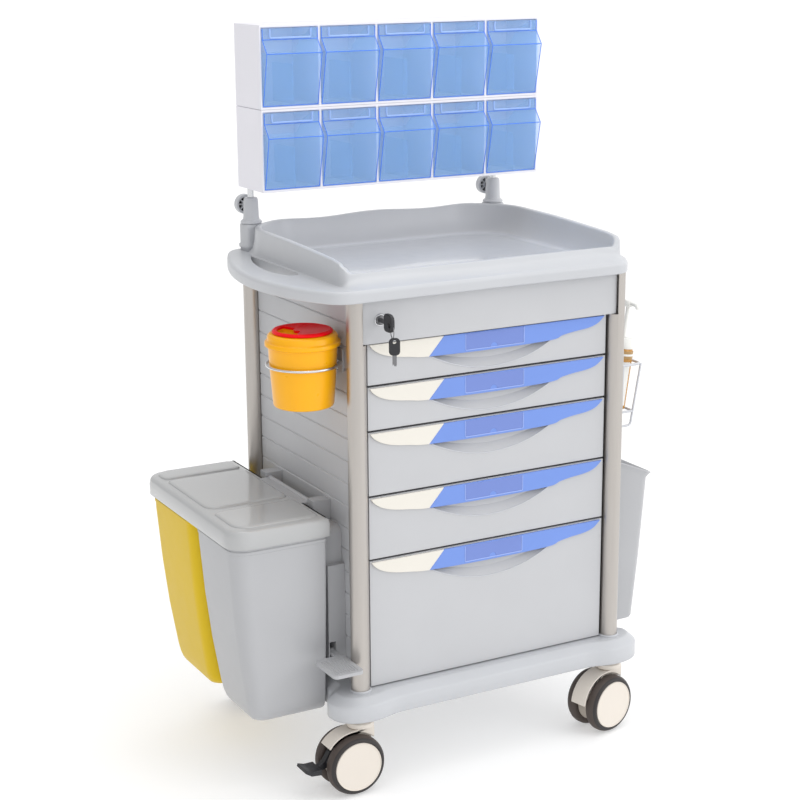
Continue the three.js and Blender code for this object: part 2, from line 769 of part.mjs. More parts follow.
// The bottle and its pump are drawn upright on their own axis, then leaned outwards together.
function addBottle() {
  const lean = (geometry) =>
    geometry
      .rotateY(THREE.MathUtils.degToRad(BOTTLE_LEAN))
      .translate(BOTTLE_X, BOTTLE_Y, BASKET_BOTTOM + WALL + BOTTLE_RADIUS * 0.14 + GAP);
  const body = [
    [0, 0],
    [BOTTLE_RADIUS - 2, 0],
    [BOTTLE_RADIUS, 3],
    [BOTTLE_RADIUS, 112],
    [BOTTLE_RADIUS - 2, 116],
    [BOTTLE_RADIUS - 2, 136],
    [5, 136],
    [5, 110],
    [0, 110],
  ];
  add("sanitiser_bottle", lean(turned(body, [0, 0], 16)), "amber");
  const stem = rod(3.5, [0, 0], [123, 199], 10);
  const head = rod(10, [0, 0], [197, 209], 12);
  const spout = box([-4, 4], [-30, 0], [199, 206]);
  add("pump_head", lean(join(stem, head, spout)), "wire_white");
}

function addOpenBin() {
  const [front, back] = [-144, 58];
  const plan = roundedRect([OPEN_BIN_NEAR, OPEN_BIN_FAR], [front, back], 16);
  const tapered = (draw, wall, slant) => (x, y) => {
    const out = (x - OPEN_BIN_NEAR) / (OPEN_BIN_FAR - OPEN_BIN_NEAR);
    const along = (2 * y - front - back) / (back - front);
    const shift = (1 - out) * wall - out * (draw + wall);
    return [x + shift, y - along * (draw / 3 + wall), slant * (1 - out)];
  };
  const bin = (wall, lift, top) =>
    loft(plan, [
      { z: OPEN_BIN_BOTTOM + lift, at: tapered(28, wall, 0) },
      { z: top - 22, at: tapered(4, wall, OPEN_BIN_SLANT) },
      { z: top - 20, at: tapered(0, wall, OPEN_BIN_SLANT) },
      { z: top, at: tapered(-2, wall, OPEN_BIN_SLANT) },
    ]);
  const middle = (front + back) / 2;
  const hook = box([PANEL_FACE + GAP, OPEN_BIN_NEAR + 2], [middle - 35, middle + 35], [440, 495]);
  const shell = cut(join(bin(0, 0, OPEN_BIN_TOP), hook), bin(WALL, WALL, OPEN_BIN_TOP + 2));
  add("open_bin", shell, "bucket_grey");
}

addBase();
addPosts();
addPanels();
addLockPanel();
addKey();
addDrawers();
addTopTray();
addRackSupports();
addRack();
for (const [name, caster] of Object.entries(CASTERS)) addCaster(name, caster);
addWasteBin();
addSharps();
addBasket();
addBottle();
addOpenBin();

// The part's origin is the middle of its box on the floor.
const extent = new THREE.Box3().setFromObject(cart);
const middle = extent.getCenter(new THREE.Vector3());
cart.position.set(-middle.x, -middle.y, -extent.min.z);
const part = new THREE.Group();
part.add(cart);
export default part;
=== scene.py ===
"""Looks of a hospital crash cart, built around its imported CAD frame.

Shapes are drawn in the cart's own millimetres, as the CAD is: x = 0 and y = 0 midway between the
posts, the drawers facing -Y and the floor at z = 0. `at` turns such a point into the row frame.
"""

import math

import bmesh
import bpy
from mathutils import Matrix, Quaternion, Vector


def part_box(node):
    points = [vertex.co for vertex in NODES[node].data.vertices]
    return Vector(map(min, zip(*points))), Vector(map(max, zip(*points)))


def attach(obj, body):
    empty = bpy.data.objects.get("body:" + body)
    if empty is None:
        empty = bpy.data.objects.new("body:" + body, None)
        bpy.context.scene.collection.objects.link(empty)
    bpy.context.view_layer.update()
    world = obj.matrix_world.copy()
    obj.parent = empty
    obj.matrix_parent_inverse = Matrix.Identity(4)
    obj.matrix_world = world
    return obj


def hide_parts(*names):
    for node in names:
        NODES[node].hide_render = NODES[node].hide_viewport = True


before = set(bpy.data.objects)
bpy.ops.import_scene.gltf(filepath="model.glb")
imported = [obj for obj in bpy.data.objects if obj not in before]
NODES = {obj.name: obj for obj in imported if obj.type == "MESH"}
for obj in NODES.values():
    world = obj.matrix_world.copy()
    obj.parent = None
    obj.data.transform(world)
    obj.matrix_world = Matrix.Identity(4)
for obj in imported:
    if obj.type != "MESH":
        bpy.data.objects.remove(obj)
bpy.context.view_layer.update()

MM = 0.001
base_low, base_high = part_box("base")
ORIGIN = Vector(((base_low.x + base_high.x) / 2, (base_low.y + base_high.y) / 2, 0))

POST_X, POST_Y = 266, 213  # the posts stand this far from the middle, and so do the casters
PANEL_X = 262.4  # outer face of a side panel


def at(x, y, z):
    return ORIGIN + MM * Vector((x, y, z))


def span(node):
    """Lowest and highest corner of a CAD node, in the cart's millimetres."""
    low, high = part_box(node)
    return (low - ORIGIN) / MM, (high - ORIGIN) / MM


# ---------------------------------------------------------------- materials
def linear(rgb):
    """A colour of 0 to 255 per channel as linear light."""
    shares = [c / 255 for c in rgb]
    return [c / 12.92 if c <= 0.04045 else ((c + 0.055) / 1.055) ** 2.4 for c in shares]


def finish(name, rgb, rough=0.4, vary=0.03, grain=0.05, grain_size=0.9, stretch=(1, 1, 1), **sockets):
    """A procedural surface: clouded colour and gloss over a fine moulded grain of about grain_size mm."""
    material = bpy.data.materials.new(name)
    material.use_nodes = True
    nodes, links = material.node_tree.nodes, material.node_tree.links
    shader = nodes["Principled BSDF"]
    for socket, value in sockets.items():
        shader.inputs[socket.replace("_", " ")].default_value = value

    coordinate = nodes.new("ShaderNodeTexCoord")
    mapping = nodes.new("ShaderNodeMapping")
    mapping.inputs["Scale"].default_value = stretch
    links.new(coordinate.outputs["Object"], mapping.inputs["Vector"])

    def noise(scale, detail):
        node = nodes.new("ShaderNodeTexNoise")
        node.inputs["Scale"].default_value = scale
        node.inputs["Detail"].default_value = detail
        links.new(mapping.outputs["Vector"], node.inputs["Vector"])
        return node.outputs["Fac"]

    base = linear(rgb)
    mix = nodes.new("ShaderNodeMix")
    mix.data_type = "RGBA"
    mix.inputs["A"].default_value = (*[c * (1 - vary) for c in base], 1)
    mix.inputs["B"].default_value = (*[min(1, c * (1 + vary)) for c in base], 1)
    links.new(noise(11, 4), mix.inputs["Factor"])
    links.new(mix.outputs["Result"], shader.inputs["Base Color"])

    gloss = nodes.new("ShaderNodeMapRange")
    gloss.inputs["To Min"].default_value = max(0.02, rough - 0.06)
    gloss.inputs["To Max"].default_value = rough + 0.06
    links.new(noise(45, 5), gloss.inputs["Value"])
    links.new(gloss.outputs["Result"], shader.inputs["Roughness"])

    bump = nodes.new("ShaderNodeBump")
    bump.inputs["Strength"].default_value = grain
    bump.inputs["Distance"].default_value = 0.3 * MM
    links.new(noise(1 / (grain_size * MM), 2), bump.inputs["Height"])
    links.new(bump.outputs["Normal"], shader.inputs["Normal"])
    return material


FINISHES = {
    "panel_grey": finish("panel_grey", (190, 191, 194), 0.42),
    "rim_grey": finish("rim_grey", (192, 194, 198), 0.34),
    "tray_gloss": finish("tray_gloss", (200, 203, 209), 0.16, grain=0.03, Coat_Weight=0.5),
    "lid_grey": finish("lid_grey", (180, 181, 182), 0.2, grain=0.03, Coat_Weight=0.4),
    "cream": finish("cream", (226, 222, 213), 0.38),
    "handle_blue": finish("handle_blue", (112, 144, 218), 0.34, vary=0.04),
    "label_blue": finish("label_blue", (112, 134, 202), 0.2, vary=0.05),
    "pale_blue": finish("pale_blue", (160, 182, 238), 0.25, vary=0.04),
    # the bins' faint blue glow is painted light: it stands in for light passing through the clear plastic
    # into the case
    "clear_blue": finish(
        "clear_blue", (116, 176, 250), 0.12, vary=0.05, grain=0.02,
        Alpha=0.2, Emission_Color=(0.72, 0.94, 1, 1), Emission_Strength=0.22,
    ),
    "edge_blue": finish("edge_blue", (84, 138, 242), 0.18, vary=0.05, grain=0.02, Alpha=0.85),
    "pocket_blue": finish("pocket_blue", (166, 196, 246), 0.18, vary=0.04, grain=0.02, Alpha=0.8),
    "case_white": finish("case_white", (230, 229, 236), 0.34),
    "post_aluminium": finish(
        "post_aluminium", (186, 181, 176), 0.34, vary=0.06, grain=0.12,
        stretch=(9, 9, 0.4), Metallic=0.85,
    ),
    "steel": finish("steel", (214, 215, 217), 0.22, vary=0.05, Metallic=1.0),
    "black": finish("black", (34, 34, 38), 0.42, vary=0.15),
    "tyre": finish("tyre", (72, 62, 57), 0.62, vary=0.12, grain=0.15),
    "tyre_dark": finish("tyre_dark", (46, 42, 42), 0.55, vary=0.12, grain=0.1),
    "key_steel": finish("key_steel", (128, 128, 130), 0.3, vary=0.1, Metallic=1.0),
    "caster_cream": finish("caster_cream", (224, 216, 206), 0.42),
    "bucket_grey": finish("bucket_grey", (179, 180, 183), 0.36),
    "bucket_yellow": finish("bucket_yellow", (220, 186, 4), 0.4, Specular_IOR_Level=0.3),
    "sharps_yellow": finish("sharps_yellow", (250, 178, 2), 0.3, Specular_IOR_Level=0.4),
    "sharps_red": finish("sharps_red", (240, 8, 22), 0.35, vary=0.04, Specular_IOR_Level=0.15),
    "wire_white": finish("wire_white", (204, 206, 212), 0.3),
    "amber": finish("amber", (196, 142, 64), 0.16, vary=0.08, grain=0.02, Alpha=0.86),
    "label_white": finish("label_white", (232, 232, 228), 0.5),
    "gold": finish("gold", (172, 138, 88), 0.35, vary=0.06),
}


# ---------------------------------------------------------------- outlines
def path(start, *steps, n=8):
    """Points from start. A step is a corner (x, y), or a curve's control points, the last its end."""
    points = [Vector(start)]
    for step in steps:
        if isinstance(step[0], (int, float)):
            points.append(Vector(step))
            continue
        control = [points[-1], *map(Vector, step)]
        for i in range(1, n + 1):
            row = control
            while len(row) > 1:
                row = [a.lerp(b, i / n) for a, b in zip(row, row[1:])]
            points.append(row[0])
    return points


def both_sides(right_half):
    """A closed outline from its right half, which starts and ends on x = 0."""
    return right_half + [Vector((-p.x, p.y)) for p in reversed(right_half[1:-1])]


def arc(centre, radius, start, end, n=12):
    """Points on a circle from one angle to another, in degrees."""
    angles = [math.radians(start + (end - start) * i / n) for i in range(n + 1)]
    return [Vector((centre[0] + radius * math.cos(a), centre[1] + radius * math.sin(a))) for a in angles]


def rounded(x_span, y_span, radii, n=6):
    """A rectangle with rounded corners, anticlockwise from the low corner; radii is one or four numbers."""
    radii = [radii] * 4 if isinstance(radii, (int, float)) else radii
    (x0, x1), (y0, y1) = x_span, y_span
    corners = [(x0, y0, 1, 1), (x1, y0, -1, 1), (x1, y1, -1, -1), (x0, y1, 1, -1)]
    points = []
    for i, ((x, y, sx, sy), r) in enumerate(zip(corners, radii)):
        points += arc((x + sx * r, y + sy * r), r, 180 + 90 * i, 270 + 90 * i, n)
    return points


def inset(points, amount):
    """A closed anticlockwise outline moved inwards along its normals."""
    moved = []
    for i, point in enumerate(points):
        along = (points[(i + 1) % len(points)] - points[i - 1]).normalized()
        moved.append(point + amount * Vector((-along.y, along.x)))
    return moved


def interpolate(table, value):
    """Value at a key, on straight lines between the rows of a table of (key, number), keys rising."""
    if value <= table[0][0]:
        return table[0][1]
    for (k0, v0), (k1, v1) in zip(table, table[1:]):
        if value <= k1:
            share = (value - k0) / (k1 - k0)
            return v0 + (v1 - v0) * share
    return table[-1][1]


# ---------------------------------------------------------------- solids
def loft(rings, closed=False):
    """Faces between rings of equal length; the two ends are capped unless the rings close on themselves."""
    verts = [tuple(p) for ring in rings for p in ring]
    n = len(rings[0])
    faces = []
    for i in range(len(rings) if closed else len(rings) - 1):
        a, b = i * n, (i + 1) % len(rings) * n
        faces += [(a + j, a + (j + 1) % n, b + (j + 1) % n, b + j) for j in range(n)]
    if not closed:
        faces += [tuple(reversed(range(n))), tuple(range(len(verts) - n, len(verts)))]
    return verts, faces


# Where a point (a, b) of an outline goes when it is raised to t along an axis.
PLACE = {
    "x": lambda a, b, t: (t, a, b),
    "y": lambda a, b, t: (a, t, b),
    "z": lambda a, b, t: (a, b, t),
}


def prism(outline, ends, axis="z"):
    """An outline raised along an axis: drawn as (y, z) for x, (x, z) for y and (x, y) for z."""
    return loft([[PLACE[axis](a, b, t) for a, b in outline] for t in ends])


def block(x_span, y_span, z_span):
    return prism(rounded(x_span, y_span, 0.01, 1), z_span)


def turned(profile, centre, axis="z", sides=64, closed=False):
    """A profile of (radius, height) turned about an axis through centre, whose height is added."""
    rings = []
    for radius, height in profile:
        circle = arc((0, 0), max(radius, 0.001), 0, 360 * (1 - 1 / sides), sides - 1)
        ring = [PLACE[axis](p.x, p.y, height) for p in circle]
        rings.append([Vector(p) + Vector(centre) for p in ring])
    return loft(rings, closed)


def tube(points, radius, sides=10, closed=False):
    """A round wire along points."""
    points = [Vector(p) for p in points]
    count = len(points)
    rings = []
    side = None
    for i, point in enumerate(points):
        before = points[i - 1] if closed or i else point
        after = points[(i + 1) % count] if closed or i < count - 1 else point
        along = (after - before).normalized()
        if side is None:
            side = along.orthogonal()
        side = (side - along * side.dot(along)).normalized()
        up = along.cross(side)
        rings.append([
            point + radius * (side * math.cos(a) + up * math.sin(a))
            for a in (2 * math.pi * k / sides for k in range(sides))
        ])
    return loft(rings, closed)


def bent(corners, radius, n=5, closed=False):
    """A line through corners, each one rounded by a curve that starts radius before it."""
    corners = [Vector(c) for c in corners]
    points = [] if closed else [corners[0]]
    inner = range(len(corners)) if closed else range(1, len(corners) - 1)
    for i in inner:
        here, before, after = corners[i], corners[i - 1], corners[(i + 1) % len(corners)]
        start = here + radius * (before - here).normalized()
        end = here + radius * (after - here).normalized()
        for k in range(n + 1):
            t = k / n
            points.append(start * (1 - t) ** 2 + here * 2 * t * (1 - t) + end * t * t)
    return points if closed else [*points, corners[-1]]


def together(*solids):
    """Several solids as one."""
    verts, faces = [], []
    for more_verts, more_faces in solids:
        start = len(verts)
        verts += more_verts
        faces += [tuple(start + i for i in face) for face in more_faces]
    return verts, faces


def moved(solid, matrix):
    verts, faces = solid
    return [tuple(matrix @ Vector(v)) for v in verts], faces


def piece(name, solid, material, body, replaces=(), sharp=38, edge=0.0, segments=3, edge_angle=38):
    """A named piece of the object, or a cutting tool if it has no body; edge rounds its edges, in mm."""
    verts, faces = solid
    mesh = bpy.data.meshes.new(name)
    mesh.from_pydata([at(*v) for v in verts], [], faces)
    shape = bmesh.new()
    shape.from_mesh(mesh)
    bmesh.ops.remove_doubles(shape, verts=shape.verts, dist=0.004 * MM)
    bmesh.ops.dissolve_degenerate(shape, dist=0.002 * MM, edges=shape.edges)
    bmesh.ops.recalc_face_normals(shape, faces=shape.faces)
    shape.to_mesh(mesh)
    shape.free()
    made = bpy.data.objects.new(name, mesh)
    bpy.context.scene.collection.objects.link(made)
    if body is None:
        return made
    mesh.materials.append(FINISHES[material])
    mesh.shade_smooth()
    if edge:
        soften(made, edge, segments, edge_angle)
    else:
        mesh.set_sharp_from_angle(angle=math.radians(sharp))
    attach(made, body)
    if replaces:
        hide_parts(*replaces)
    return made


def soften(made, edge, segments=3, angle=38):
    bevel = made.modifiers.new("edges", "BEVEL")
    bevel.width = edge * MM
    bevel.segments = segments
    bevel.limit_method = "ANGLE"
    bevel.angle_limit = math.radians(angle)
    normals = made.modifiers.new("normals", "WEIGHTED_NORMAL")
    normals.keep_sharp = True


def carve(made, *solids):
    """Cuts solids out of a piece's own mesh."""
    kept = [(m.width, m.segments, m.angle_limit) for m in made.modifiers if m.type == "BEVEL"]
    made.modifiers.clear()
    tools = [piece(f"tool_{i}", solid, None, None) for i, solid in enumerate(solids)]
    for tool in tools:
        cut = made.modifiers.new("cut", "BOOLEAN")
        cut.operation = "DIFFERENCE"
        cut.solver = "EXACT"
        cut.object = tool
    bpy.context.view_layer.update()
    graph = bpy.context.evaluated_depsgraph_get()
    mesh = bpy.data.meshes.new_from_object(made.evaluated_get(graph))
    made.modifiers.clear()
    made.data = mesh
    for tool in tools:
        bpy.data.objects.remove(tool)
    for width, segments, limit in kept:
        soften(made, width / MM, segments, math.degrees(limit))


def keep(node, material, edge=0.6, segments=2, angle=30):
    """A CAD node that stays, with softened edges and its finish."""
    made = NODES[node]
    mesh = made.data
    if "custom_normal" in mesh.attributes:
        mesh.attributes.remove(mesh.attributes["custom_normal"])
    mesh.shade_smooth()
    mesh.materials.clear()
    mesh.materials.append(FINISHES[material])
    weld = made.modifiers.new("weld", "WELD")
    weld.merge_threshold = 0.01 * MM
    soften(made, edge, segments, angle)


# ---------------------------------------------------------------- base, posts and panels
def base_and_body():
    low, high = span("base")
    side, front, back = high.x, low.y, high.y
    waist = 300
    half = path(
        (0, front + 12),
        (190, front + 12),
        [(225, front + 12), (232, front), (262, front)],
        [(300, front), (side, -235), (side, -205)],
        [(side, -180), (waist, -178), (waist, -158)],
        (waist, 190),
        [(waist, 235), (285, back), (250, back)],
        [(225, back), (220, back - 10), (190, back - 10)],
        (0, back - 10),
        n=12,
    )
    outline = both_sides(half)
    shoulder = high.z - 14
    steps = [(low.z, 2), (low.z + 2, 0), (shoulder - 2, 0), (shoulder + 0.6, 0.9), (shoulder + 2.6, 3.2)]
    steps += [(high.z - 2, 13.5), (high.z - 0.5, 16), (high.z, 19)]
    rings = [[(p.x, p.y, z) for p in inset(outline, amount)] for z, amount in steps]
    piece("base_moulding", loft(rings), "rim_grey", "cart", ["base"], sharp=50)

    collar = [(17.2, 180.5), (19.5, 180.5), (19.5, 185), (18.4, 186.4), (17.2, 186.4)]
    for end, y in (("front", -POST_Y), ("back", POST_Y)):
        for where, x in (("left", -POST_X), ("right", POST_X)):
            keep(f"post_{end}_{where}", "post_aluminium", 0.5)
            piece(f"socket_{end}_{where}", turned(collar, (x, y, 0), closed=True), "rim_grey", "cart")
    for node in ("side_panel_left", "side_panel_right", "back_panel"):
        keep(node, "panel_grey", 0.5)
    keep("lock_panel", "panel_grey", 1.6, 3)


# ---------------------------------------------------------------- drawers
# Lower edge of the strip, as (x, height above the drawer's top edge).
STRIP_EDGE = [
    (-243, -1.5), (-236, -10), (-222, -19), (-200, -26), (-165, -31), (-125, -35), (4, -36.5),
    (122, -34.5), (149, -28), (174, -24), (205, -20.5), (225, -14), (240, -1.5),
]
SPLIT_LOW, SPLIT_TOP = -127, -97  # where the strip's cream end meets its blue part


def smooth_line(points, n=5):
    """A curve through the points."""
    padded = [points[0], *points, points[-1]]
    line = []
    for p0, p1, p2, p3 in zip(padded, padded[1:], padded[2:], padded[3:]):
        p0, p1, p2, p3 = (Vector(p) for p in (p0, p1, p2, p3))
        for k in range(n):
            t = k / n
            line.append(0.5 * (
                2 * p1 + (p2 - p0) * t + (2 * p0 - 5 * p1 + 4 * p2 - p3) * t * t
                + (3 * p1 - p0 - 3 * p2 + p3) * t ** 3
            ))
    return [*line, Vector(points[-1])]


def grip_strip(name, body, top, face, node):
    """The cream and blue strip along a drawer's top edge, with its label window."""
    edge = smooth_line(STRIP_EDGE)
    cut_low = Vector((SPLIT_LOW, interpolate([tuple(p) for p in edge], SPLIT_LOW)))
    cut_top = Vector((SPLIT_TOP, -1.5))
    cream = [p for p in edge if p.x < SPLIT_LOW - 1] + [cut_low, cut_top]
    blue = [cut_low, *[p for p in edge if p.x > SPLIT_LOW + 1], cut_top]
    back, front = face - 0.3, face - 4.3
    for part, outline, material, stands_for in (
        ("cream", cream, "cream", []),
        ("blue", blue, "handle_blue", [node]),
    ):
        solid = prism([(p.x, top + p.y) for p in outline], [back, front], "y")
        piece(f"{name}_{part}", solid, material, body, stands_for, edge=1.1, edge_angle=50)

    left, right, high, low = -53, 65.5, top - 3, top - 31
    window = [(left, high), (left, low), *arc((4, low), 7, 180, 0, 10), (right, low), (right, high)]
    solid = prism(window, [front + 0.2, front - 0.5], "y")
    piece(f"{name}_label", solid, "label_blue", body, edge=0.3)
    around = [(left - 1, high), (left - 1, low - 1), (right + 1, low - 1), (right + 1, high)]
    frame_line = [(x, front - 0.2, z) for x, z in around]
    piece(f"{name}_frame", tube(bent(frame_line, 2), 0.8, 8), "pale_blue", body)


SCOOP_LIP = path((-120, -36), [(-60, -66), (0, -67)], [(70, -66), (124, -35)], n=16)


def scoop(top, face):
    """The finger scoop's cutter: it narrows into the drawer's front and runs up behind the strip."""
    mouth = [Vector((-120, -24)), *SCOOP_LIP, Vector((124, -24))]
    rings = []
    for y, share, lift in ((face - 2, 1.0, 0), (face, 1.0, 0), (face + 5, 0.94, 7), (face + 10, 0.8, 15)):
        ring = []
        for p in mouth:
            deep = min(1, max(0, (-p.y - 36) / 31))
            ring.append((p.x * (share + (1 - share) * (1 - deep) * 0.4), y, top + p.y + lift * deep))
        rings.append(ring)
    return loft(rings)


def painted_gap_shade():
    """Black strips on the cart behind the gaps between the drawers, and beside them: painted shade that
    keeps the gaps dark.
    """
    spans = [span(f"drawer_{i}") for i in range(1, 6)]
    face, side = spans[0][0].y, spans[0][1].x
    shade_strips = []
    for (low, _), (_, below_high) in zip(spans, spans[1:]):
        shade_strips.append(block((-side, side), (face + 4, face + 12), (below_high.z + 0.7, low.z - 0.7)))
    shade_strips.append(block((-side, side), (face + 4, face + 10), (spans[0][1].z + 0.3, spans[0][1].z + 1.2)))
    for sign in (-1, 1):
        edges = sorted((sign * (side + 0.8), sign * (side + 3.4)))
        shade_strips.append(block(edges, (face + 3, face + 13), (spans[-1][0].z, spans[0][1].z)))
    # the black strips stand in for the shade in the gaps between and beside the drawers
    piece("drawer_gap_shade", together(*shade_strips), "black", "cart")


# Sections of the two halves of a drawer runner, as (distance from the middle, height).
OUTER_RUNNER = [
    (253.5, 13), (240.5, 13), (240.5, 10), (251.5, 10),
    (251.5, -10), (240.5, -10), (240.5, -13), (253.5, -13),
]
INNER_RUNNER = [(229, 8), (244.5, 8), (244.5, -8), (229, -8)]


def drawers():
    painted_gap_shade()
    for i in range(1, 6):
        body = f"drawer_{i}"
        low, high = span(body)
        face, top, bottom, side = low.y, high.z, low.z, high.x
        front = piece(
            f"{body}_front",
            prism([(-side, bottom), (side, bottom), (side, top), (-side, top)], [face, face + 14], "y"),
            "panel_grey", body, [body], edge=1.5, edge_angle=34,
        )
        carve(front, scoop(top, face))
        bead = tube([(p.x, face - 0.1, top + p.y - 0.9) for p in SCOOP_LIP], 1.3, 8)
        piece(f"{body}_scoop_lip", bead, "rim_grey", body)
        grip_strip(f"{body}_strip", body, top, face, f"drawer_handle_{i}")

        tray_top, tray_low, wall = top - 14, bottom + 8, 3
        outer = rounded((-228, 228), (face + 14.2, high.y), 8)
        inner = inset(outer, wall)
        rings = [(inset(outer, 1.5), tray_low), (outer, tray_low + 1.5), (outer, tray_top - 0.6)]
        rings += [(inset(outer, 0.6), tray_top), (inset(outer, wall - 0.6), tray_top)]
        rings += [(inner, tray_top - 0.6), (inner, tray_low + wall + 2)]
        rings += [(inset(outer, wall + 2), tray_low + wall)]
        solid = loft([[(p.x, p.y, z) for p in ring] for ring, z in rings])
        piece(f"{body}_tray", solid, "panel_grey", body, sharp=50)

        middle = (tray_top + tray_low) / 2 if i < 5 else tray_top - 40
        for side_name, sign in (("left", -1), ("right", 1)):
            for kind, section, owner, ends in (
                ("outer", OUTER_RUNNER, "cart", (face + 22, high.y)),
                ("inner", INNER_RUNNER, body, (face + 16, high.y - 4)),
            ):
                solid = prism([(sign * x, middle + z) for x, z in section], ends, "y")
                piece(f"{body}_runner_{kind}_{side_name}", solid, "steel", owner, edge=0.5)


# ---------------------------------------------------------------- lock and key
def lock_and_key():
    x, z, face = -225, 850.5, span("lock_panel")[0].y
    ring = [(8.6, 0), (11, 0), (11, -1.6), (10, -2.6), (8.6, -2.6)]
    piece("lock_escutcheon", turned(ring, (x, face, z), "y", closed=True), "steel", "cart")
    plug = [(0, -0.3), (8.4, -0.3), (8.4, -4), (7.6, -5), (0, -5)]
    piece("lock_plug", turned(plug, (x, face, z), "y"), "key_steel", "key")
    blade = block((x - 1.1, x + 1.1), (face - 22, face - 4), (z - 4, z + 4))
    piece("key_blade", blade, "key_steel", "key", edge=0.4)
    outline = rounded((face - 46, face - 18), (z - 15.5, z + 15.5), [11, 7, 7, 11])
    bow = piece("key_bow", prism(outline, (x - 3.4, x + 3.4), "x"), "black", "key", ["key"], edge=1.4)
    hole = prism(arc((face - 38, z - 3), 4.2, 0, 345, 23), (x - 9, x + 9), "x")
    carve(bow, hole)
    centre = Vector((x + 2, face - 39, z - 13.5))
    loop = [centre + Vector((0.25 * c.x, 0.97 * c.x, c.y)) for c in arc((0, 0), 11, 0, 345, 23)]
    piece("key_ring", tube(loop, 0.8, 8, closed=True), "key_steel", "key")
    tilt = Matrix.Translation((x + 6, face - 39, 824)) @ Matrix.Rotation(math.radians(-20), 4, "Z")
    head = moved(prism(rounded((-9.5, 9.5), (-28, 2), 7), (-1.8, 1.8), "y"), tilt)
    spare = piece("spare_key_head", head, "black", "key", edge=0.9)
    carve(spare, moved(prism(arc((0, -5), 3.2, 0, 345, 23), (-9, 9), "y"), tilt))
    teeth = [(-3.6, -27), (3.6, -27), (3.6, -44), (2, -48)]
    teeth += [(0.6, -45), (-0.6, -47), (-1.8, -43), (-3.6, -45)]
    blade = moved(prism(list(reversed(teeth)), (-1, 1), "y"), tilt)
    piece("spare_key_blade", blade, "key_steel", "key", edge=0.3)


# ---------------------------------------------------------------- top tray
# Height of the guard's top edge by y: it sweeps up from the front and is highest at the back.
GUARD_HEIGHTS = [
    (-206, 920), (-203, 928), (-197, 939), (-186, 946.5), (-160, 950), (-107, 952.5), (-52, 955),
    (16, 957.5), (225, 960),
]


def ray_radius(outline, angle):
    """Distance from the middle at which a ray meets a closed outline."""
    direction = Vector((math.cos(angle), math.sin(angle)))
    for i, a in enumerate(outline):
        b = outline[(i + 1) % len(outline)]
        edge = b - a
        across = direction.x * edge.y - direction.y * edge.x
        if abs(across) < 1e-9:
            continue
        radius = (a.x * edge.y - a.y * edge.x) / across
        share = (a.x * direction.y - a.y * direction.x) / across
        if radius > 0 and -1e-6 <= share <= 1 + 1e-6:
            return radius
    raise ValueError("the ray misses the outline")


def tray_profile(angle, rim, foot, ridge, floor, top, underside=887, deck=909, bed=904):
    """Section of the top moulding along a ray, from its underside out, over its guard and in to its bed."""
    rim_r, ridge_r, floor_r = (ray_radius(line, angle) for line in (rim, ridge, floor))
    foot_r = min(ray_radius(foot, angle), rim_r - 9)
    points = [(rim_r - 12, underside), (rim_r - 2.5, underside), (rim_r - 0.7, underside + 0.8)]
    points += [(rim_r, underside + 2.6), (rim_r, deck - 8), (rim_r - 0.6, deck - 4.6)]
    points += [(rim_r - 2.4, deck - 2), (rim_r - 5, deck - 0.5), (rim_r - 8, deck)]
    out = ridge_r + 6
    steep = min(1, max(0, (top - 922) / 18))
    for share in (0, 0.2, 0.45, 0.7, 0.88, 1):
        rise = share + (share ** 5 - share) * steep
        points.append((foot_r + (out - foot_r) * share, deck + (top - 3 - deck) * rise))
    for side, drop in ((5, 1.2), (2.6, 0), (-2.6, 0), (-5, 1.2)):
        points.append((ridge_r + side, top - drop))
    start, end = Vector((ridge_r - 6, top - 3)), Vector((floor_r, bed))
    bend = Vector((start.x + (end.x - start.x) * 0.34, bed + (top - bed) * 0.1))
    for i in range(11):
        t = i / 10
        points.append(tuple(start * (1 - t) ** 2 + bend * 2 * t * (1 - t) + end * t * t))
    points.append((floor_r - 6, bed))
    return points


